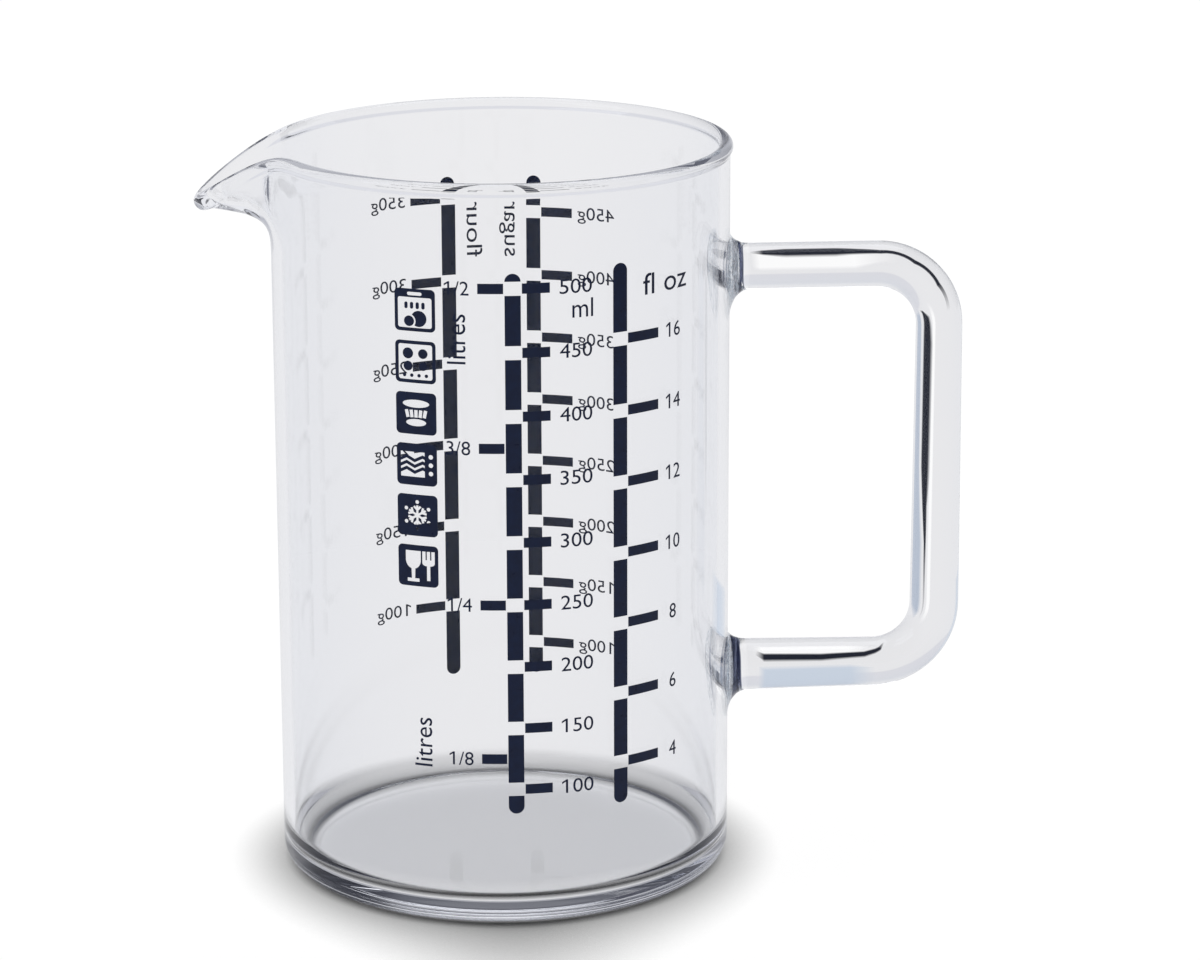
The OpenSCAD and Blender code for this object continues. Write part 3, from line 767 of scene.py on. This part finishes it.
def tableLoops():
    half, foot, top, neck = edge / 2, -0.35, 0.36, 0.08
    cup, cupRim, cupDepth, gobletX, footHalf = 0.19, 0.14, 0.22, -0.12, 0.15
    forkX, tine, valley = 0.26, 0.1125, 0.075
    bowl = [(cup * math.cos(a), cupRim + cupDepth * math.sin(a)) for a in
            (math.radians(180 + 7.5 * i) for i in range(25))]
    stem = [(-half, foot + half), (-footHalf, foot + half), (-footHalf, foot - half)]
    stem += [(-x, y) for x, y in stem[::-1]]
    goblet = [(cup, top), (-cup, top)] + [p for p in bowl if p[0] < -half]
    goblet += stem + [p for p in bowl if p[0] > half]
    leg = [(-half, foot)] + [(-half - tine * math.sin(a), neck - valley * math.cos(a)) for a in
                             (math.radians(15 * i) for i in range(7))]
    leg += [(-tine - half, top), (-tine + half, top), (-tine + half, neck + valley), (-half, neck + valley),
            (-half, top)]
    fork = leg + [(-x, y) for x, y in leg[::-1]]
    return [plate, [(x + gobletX, y) for x, y in goblet], [(x + forkX, y) for x, y in fork]]


symbols = [rinseLoops, hobLoops, heatLoops, waveLoops(), frostLoops(), tableLoops()]
symbolMeshes = []
for i, loops in enumerate(symbols):
    place = Matrix.Translation((symbolSize["arc"], symbolSize["top"] - i * symbolSize["pitch"], 0))
    symbolMeshes.append((outlineMesh(loops), place @ Matrix.Diagonal((*[symbolSize["width"]] * 3, 1))))
enamelPiece("care_prints", symbolMeshes, printSize["front"], ["care_symbols"])
print("symbols printed")


# studio: camera, floor, light

cameraPlace = {"at": (-34.7, -735.7, 273.3), "yaw": 4.04, "pitch": 15.51, "roll": -0.153, "lens": 129.4,
               "sensor": 36.0}
yaw, pitch, roll = (math.radians(cameraPlace[k]) for k in ("yaw", "pitch", "roll"))
ahead = Vector((math.sin(yaw) * math.cos(pitch), math.cos(yaw) * math.cos(pitch), -math.sin(pitch)))
level = Vector((math.cos(yaw), -math.sin(yaw), 0))
upward = level.cross(ahead)
right = math.cos(roll) * level + math.sin(roll) * upward
above = right.cross(ahead)
cameraData = bpy.data.cameras.new("camera")
cameraData.lens, cameraData.sensor_width = cameraPlace["lens"], cameraPlace["sensor"]
cameraData.sensor_fit = "HORIZONTAL"
camera = bpy.data.objects.new("camera", cameraData)
camera.matrix_world = Matrix.Translation(Vector(cameraPlace["at"]) * mm) @ Matrix(
    (right, above, -ahead)).transposed().to_4x4()
scene.collection.objects.link(camera)
scene.camera = camera

mirroredOnce = 0.5  # light with a greater glossy depth has been mirrored
floorLook = {
    "size": 3.0, "cells": 4, "drop": 0.0002, "colour": (0.93, 0.93, 0.935, 1), "paper": 0.06,
    "paperReach": (0.07, 0.20), "mottleScale": 40.0, "mottleDetail": 3.0, "rough": (0.6, 0.8),
    "white": (1.02, 1.02, 1.02, 1), "throughGlass": (0.86, 0.86, 0.875, 1),
    # the row below shapes the painted shadow at the jug's foot
    "paintedShadowReach": 0.0103, "lean": 0.93, "depth": (1.15, 2.2), "shadeSamples": 8,
    # the row below sets the painted lift under the jug
    "paintedLiftUnderJug": (0.0335, 0.0375), "paintedLiftTone": 0.86,
}


def studioFloor(look):
    material, tree = newMaterial("studio_floor")
    place = addPlace(tree)
    path = addNode(tree, "ShaderNodeLightPath").outputs
    mottle = addNoise(tree, place, look["mottleScale"], look["mottleDetail"])
    paper = addNode(tree, "ShaderNodeBsdfPrincipled", {
        "Base Color": look["colour"], "Roughness": addRange(tree, mottle, (0.0, 1.0), look["rough"]),
        "Specular IOR Level": 0.0}).outputs[0]
    away = addNode(tree, "ShaderNodeVectorMath", {0: place}, operation="LENGTH").outputs["Value"]
    # painted shadow at the foot: an occlusion node darkens the floor's glow, and the shade reaches further to
    # the front, where the floor is seen at a low angle
    front = addMath(tree, "MINIMUM", addMath(tree, "DIVIDE", addParts(tree, place)["Y"], away), 0.0)
    square = addMath(tree, "MULTIPLY", front, front)
    spread = addMath(tree, "POWER", addMath(tree, "MULTIPLY_ADD", square, -look["lean"], 1.0), -0.5)
    reach = addMath(tree, "MULTIPLY", spread, look["paintedShadowReach"])
    depth = addRange(tree, spread, (1.0, (1 - look["lean"]) ** -0.5), look["depth"])
    paintedShadowOcclusion = addNode(tree, "ShaderNodeAmbientOcclusion", {"Distance": reach}, samples=look["shadeSamples"])
    # painted light under the jug: the floor there is lifted to a pale tone over the dark that the occlusion
    # gives
    under = addRange(tree, away, look["paintedLiftUnderJug"], (look["paintedLiftTone"], 0.0))
    shade = addMath(tree, "MAXIMUM", addMath(tree, "POWER", paintedShadowOcclusion.outputs["AO"], depth), under)
    tone = addMix(tree, path["Is Camera Ray"], look["throughGlass"], look["white"])
    # the floor glows white, with the painted shadow and the painted lift under the jug in its strength
    glow = addNode(tree, "ShaderNodeEmission", {"Color": tone, "Strength": shade}).outputs[0]
    seen = addBlend(tree, addRange(tree, away, look["paperReach"], (look["paper"], 0.0)), glow, paper)
    glass = addMath(tree, "MAXIMUM", path["Is Glossy Ray"], path["Is Transmission Ray"])
    clear = addMath(tree, "MAXIMUM", glass, path["Is Camera Ray"])
    addNode(tree, "ShaderNodeOutputMaterial", {"Surface": addBlend(tree, clear, paper, seen)})
    return material


floorBm = bmesh.new()
bmesh.ops.create_grid(floorBm, x_segments=floorLook["cells"], y_segments=floorLook["cells"],
                      size=floorLook["size"], matrix=Matrix.Translation((0, 0, -floorLook["drop"])))
newStage("floor", floorBm, studioFloor(floorLook))

worldLook = {
    "dome": 0.55, "seen": 1.0, "white": (1, 1, 1, 1),
    "bands": ((0.0, (0.86, 0.86, 0.875, 1)), (0.04, (0.75, 0.755, 0.80, 1)), (0.40, (0.76, 0.775, 0.82, 1)),
              (0.65, (0.95, 0.95, 0.96, 1)), (1.0, (0.90, 0.91, 0.93, 1))),
    "mirrored": ((0.0, (0.70, 0.70, 0.73, 1)), (0.18, (0.42, 0.43, 0.47, 1)),
                 (0.40, (0.13, 0.135, 0.16, 1)), (1.0, (0.13, 0.135, 0.16, 1))),
    "flag": (0.032, 0.034, 0.048, 1), "flagFrom": (0.30, 0.50), "flagBehind": (-0.1, 0.1),
}


def studioWorld(look):
    world = bpy.data.worlds.new("studio")
    scene.world = world
    world.use_nodes = True
    tree = world.node_tree
    tree.nodes.clear()
    way = addParts(tree, addNode(tree, "ShaderNodeTexCoord").outputs["Generated"])
    path = addNode(tree, "ShaderNodeLightPath").outputs
    bounced = addMath(tree, "GREATER_THAN", path["Glossy Depth"], mirroredOnce)
    aside = addRange(tree, way["X"], look["flagFrom"], interpolation_type="SMOOTHSTEP")
    flag = addMath(tree, "MULTIPLY", aside, addRange(tree, way["Y"], look["flagBehind"]))
    dim = addMix(tree, flag, addRamp(tree, way["Z"], look["mirrored"]), look["flag"])
    room = addMix(tree, bounced, addRamp(tree, way["Z"], look["bands"]), dim)
    dome, seen, white = (
        addNode(tree, "ShaderNodeBackground", {"Color": colour, "Strength": strength}).outputs[0]
        for colour, strength in ((look["white"], look["dome"]), (room, look["seen"]), (look["white"], 1.0)))
    clear = addMath(tree, "MAXIMUM", path["Is Glossy Ray"], path["Is Transmission Ray"])
    inner = addBlend(tree, clear, dome, seen)
    outer = addBlend(tree, path["Is Camera Ray"], inner, white)
    addNode(tree, "ShaderNodeOutputWorld", {"Surface": outer})


studioWorld(worldLook)

lamps = {
    "left_softbox": {"at": (-0.9, -0.5, 0.9), "to": (0, 0, 0.07), "size": (0.7, 0.9), "power": 4.4},
    "top_softbox": {"at": (0.1, 0.25, 1.1), "to": (0, 0, 0.0), "size": (0.8, 0.8), "power": 3.9},
}
for name, lamp in lamps.items():
    light = bpy.data.lights.new(name, "AREA")
    light.shape, light.energy = "RECTANGLE", lamp["power"]
    light.size, light.size_y = lamp["size"]
    holder = bpy.data.objects.new(name, light)
    aim = Vector(lamp["to"]) - Vector(lamp["at"])
    holder.matrix_world = Matrix.Translation(lamp["at"]) @ aim.to_track_quat("-Z", "Y").to_matrix().to_4x4()
    scene.collection.objects.link(holder)

# cards close behind the rod put its dark and pale lines into it
# only light that has come through one glass rod meets them

inkTone, paleTone, whiteTone = (0.010, 0.012, 0.022, 1), (0.62, 0.69, 0.79, 1), (1.05, 1.05, 1.05, 1)
oneRod = 2.5  # light with a greater transmission depth has come through more than one rod
cardLook = {  # stations along the middle of each card, with half its width there
    "upper_dark": {"tone": inkTone, "core": 0.6, "stations": (
        (44.6, 10, 102.5, 0.3), (47, 10, 102.4, 0.9), (51, 10, 102.3, 1.5), (60, 10, 102.3, 1.5),
        (64, 10, 102.5, 1.0), (68, 10, 102.8, 0.6), (72.4, 10, 101.9, 0.5), (75.6, 10, 99.2, 0.45),
        (77.2, 10, 95.8, 0.35))},
    "upper_white": {"tone": whiteTone, "core": 0.7, "stations": (
        (45.5, 16, 101.2, 3.6), (47, 16, 101.2, 3.6), (64, 16, 101.2, 3.6), (71, 16, 100.2, 2.0))},
    "lower_dark": {"tone": inkTone, "core": 0.5, "stations": (
        (46.0, 10, 29.3, 0.5), (47.5, 10, 29.8, 0.55), (58, 10, 29.9, 0.5), (66, 10, 29.6, 0.5),
        (69.5, 10, 28.8, 0.6), (71.5, 10, 27.2, 0.3))},
    "lower_white": {"tone": whiteTone, "core": 0.7, "stations": (
        (46.5, 16, 23.6, 2.6), (48, 16, 23.6, 2.6), (64, 16, 23.6, 2.6), (69, 16, 23.6, 2.2))},
    "lower_pale": {"tone": paleTone, "core": 0.85, "stations": (
        (47.0, 16, 36.2, 7.0), (48.2, 16, 36.2, 7.0), (64, 16, 36.2, 7.0), (68.5, 16, 36.2, 7.0))},
    "grip_dark": {"tone": inkTone, "core": 0.6, "stations": (
        (89.6, 18.4, 98.6, 0.2), (87.5, 18.7, 97.0, 1.0), (86.3, 18.9, 94, 2.8), (85.9, 18.9, 88, 3.5),
        (85.9, 18.9, 64, 3.2), (85.4, 19.0, 57, 1.7), (84.7, 19.1, 50, 0.7), (84.6, 19.1, 33.5, 0.4))},
    "grip_blue": {"tone": (0.50, 0.56, 0.66, 1), "core": 0.8, "stations": (
        (98.5, 17.0, 100, 8.5), (98.5, 17.0, 96, 8.5), (98, 17.0, 64, 9.5), (96.5, 17.2, 50, 11.5),
        (96.5, 17.2, 36, 11.5), (96.5, 17.2, 31, 11.5))},
    "grip_white": {"tone": whiteTone, "core": 0.5, "stations": (
        (82.3, 19.4, 98, 0.8), (82.3, 19.4, 94, 0.8), (82.6, 19.4, 38, 0.9), (82.6, 19.4, 33, 0.9))},
}


def showWhere(tree, share, colour):
    light = addNode(tree, "ShaderNodeEmission", {"Color": colour, "Strength": 1.0}).outputs[0]
    air = addNode(tree, "ShaderNodeBsdfTransparent").outputs[0]
    addNode(tree, "ShaderNodeOutputMaterial", {"Surface": addBlend(tree, share, air, light)})


def softCard(tone):
    material, tree = newMaterial("studio_card")
    path = addNode(tree, "ShaderNodeLightPath").outputs
    single = addMath(tree, "LESS_THAN", path["Transmission Depth"], oneRod)
    fade = addNode(tree, "ShaderNodeAttribute", attribute_name="fade").outputs["Fac"]
    showWhere(tree, addMath(tree, "MULTIPLY", fade, single), tone)
    return material


for name, look in cardLook.items():
    stations = [Vector(station[:3]) for station in look["stations"]]
    widths = [station[3] for station in look["stations"]]
    rows = (-1, -look["core"], look["core"], 1)  # across the card, which fades out beyond its core
    last, lastRow = len(stations) - 1, len(rows) - 1
    cardBm = bmesh.new()
    fade = cardBm.verts.layers.float.new("fade")
    bmesh.ops.create_grid(cardBm, x_segments=last, y_segments=lastRow, size=1)
    for vert in cardBm.verts:
        i, row = round((vert.co.x + 1) / 2 * last), round((vert.co.y + 1) / 2 * lastRow)
        run = stations[min(i + 1, last)] - stations[max(i - 1, 0)]
        across = Vector((-run.z, 0, run.x)).normalized()
        vert[fade] = 1.0 if 0 < row < lastRow and 0 < i < last else 0.0
        vert.co = stations[i] + across * widths[i] * rows[row]
    bmesh.ops.scale(cardBm, vec=(mm, mm, mm), verts=cardBm.verts)
    newStage(name, cardBm, softCard(look["tone"]), ("camera", "diffuse", "shadow", "glossy"))

# a wide dome, which shows only in light that was mirrored inside the glass of the spout

domeLook = {
    "at": (-45.0, 0.0, 121.0), "radius": 600.0, "segments": (48, 24), "spout": 26.0,
    "tone": (0.84, 0.845, 0.88, 1),
    "zones": (  # bearing and height of each shade in degrees, as seen from the spout
        ((-180, 0), (-90, 90), (0.74, 0.75, 0.80, 1)), ((-60, -15), (-8, 14), inkTone),
        ((-10, -1), (-18, -12), inkTone), ((28, 72), (12, 34), inkTone), ((42, 92), (44, 74), inkTone),
        ((97, 138), (2, 28), inkTone)),
}


def studioDome(look):
    material, tree = newMaterial("studio_dome")
    away = addNode(tree, "ShaderNodeVectorMath", {0: addPlace(tree), 1: Vector(look["at"]) * mm},
                   operation="SUBTRACT")
    way = addNode(tree, "ShaderNodeVectorMath", {0: away.outputs[0]}, operation="NORMALIZE").outputs[0]
    parts = addParts(tree, way)
    angles = addMath(tree, "ARCTAN2", parts["Y"], parts["X"]), addMath(tree, "ARCSINE", parts["Z"])
    colour = look["tone"]
    for *spans, shade in look["zones"]:
        inside = [addMath(tree, "COMPARE", angle, math.radians(low + high) / 2, math.radians(high - low) / 2)
                  for angle, (low, high) in zip(angles, spans)]
        colour = addMix(tree, addMath(tree, "MULTIPLY", *inside), colour, shade)
    path = addNode(tree, "ShaderNodeLightPath").outputs
    bounced = addMath(tree, "GREATER_THAN", path["Glossy Depth"], mirroredOnce)
    # light from near the middle meets the dome squarely, and all other light at a slant
    slant = addNode(tree, "ShaderNodeLayerWeight", {"Blend": 0.5, "Normal": way}).outputs["Facing"]
    limit = 1 - math.sqrt(1 - (look["spout"] / look["radius"]) ** 2)
    showWhere(tree, addMath(tree, "MULTIPLY", bounced, addMath(tree, "LESS_THAN", slant, limit)), colour)
    return material


domeBm = bmesh.new()
domePlace = Matrix.Translation(Vector(domeLook["at"]) * mm)
bmesh.ops.create_uvsphere(domeBm, u_segments=domeLook["segments"][0], v_segments=domeLook["segments"][1],
                          radius=domeLook["radius"] * mm, matrix=domePlace)
newStage("studio_dome", domeBm, studioDome(domeLook), ("camera", "diffuse", "shadow"))

scene.view_settings.view_transform = "Standard"
scene.cycles.max_bounces = 64
scene.cycles.transmission_bounces = 48
scene.cycles.glossy_bounces = 48
scene.cycles.transparent_max_bounces = 64
print("studio ready")
